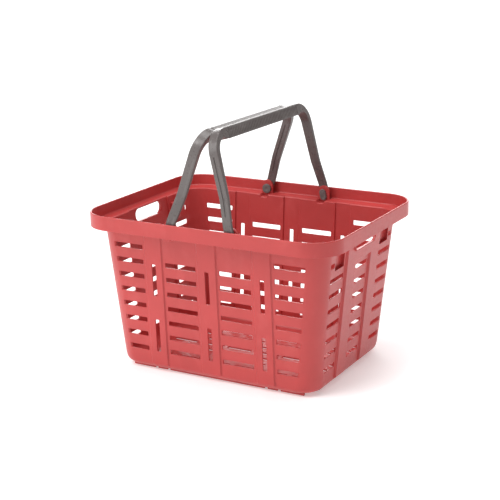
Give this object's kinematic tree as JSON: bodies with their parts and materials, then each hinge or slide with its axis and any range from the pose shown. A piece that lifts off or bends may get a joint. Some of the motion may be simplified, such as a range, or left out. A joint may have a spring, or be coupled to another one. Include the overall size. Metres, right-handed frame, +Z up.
{
  "type": "shopping basket",
  "caption": "Hand shopping basket: slotted tapered tub with a stepped rim and hand holes, and carrying handles that swing up or fold flat into the rim.",
  "frame": {"origin": "centre of the footprint, on the surface the basket stands on", "axes": "+Z up, +X along the long side, -Y towards the front long wall"},
  "size_m": [0.46, 0.36, 0.4246],
  "materials": {
    "tub_plastic": "satin moulded polypropylene, coral red",
    "handle_plastic": "satin moulded plastic, warm grey",
    "grip_plastic": "matt ribbed plastic, warm grey",
    "pin_plastic": "satin moulded plastic, dark grey"
  },
  "bodies": {
    "basket": {"basket_body": "tub_plastic"},
    "left_handle": {"handle_bail_left": "handle_plastic", "handle_grip_left": "grip_plastic", "pivot_pin_left_front": "pin_plastic", "pivot_pin_left_back": "pin_plastic"},
    "right_handle": {"handle_bail_right": "handle_plastic", "handle_grip_right": "grip_plastic", "pivot_pin_right_front": "pin_plastic", "pivot_pin_right_back": "pin_plastic"}
  },
  "joints": [
    {"name": "left_handle_swing", "type": "hinge", "parent": "basket", "child": "left_handle", "pos_m": [-0.0565, 0, 0.2585], "axis": [0, -1, 0], "range_deg": [0, 109]},
    {"name": "right_handle_swing", "type": "hinge", "parent": "basket", "child": "right_handle", "pos_m": [0.0565, 0, 0.2585], "axis": [0, 1, 0], "range_deg": [0, 103]}
  ]
}
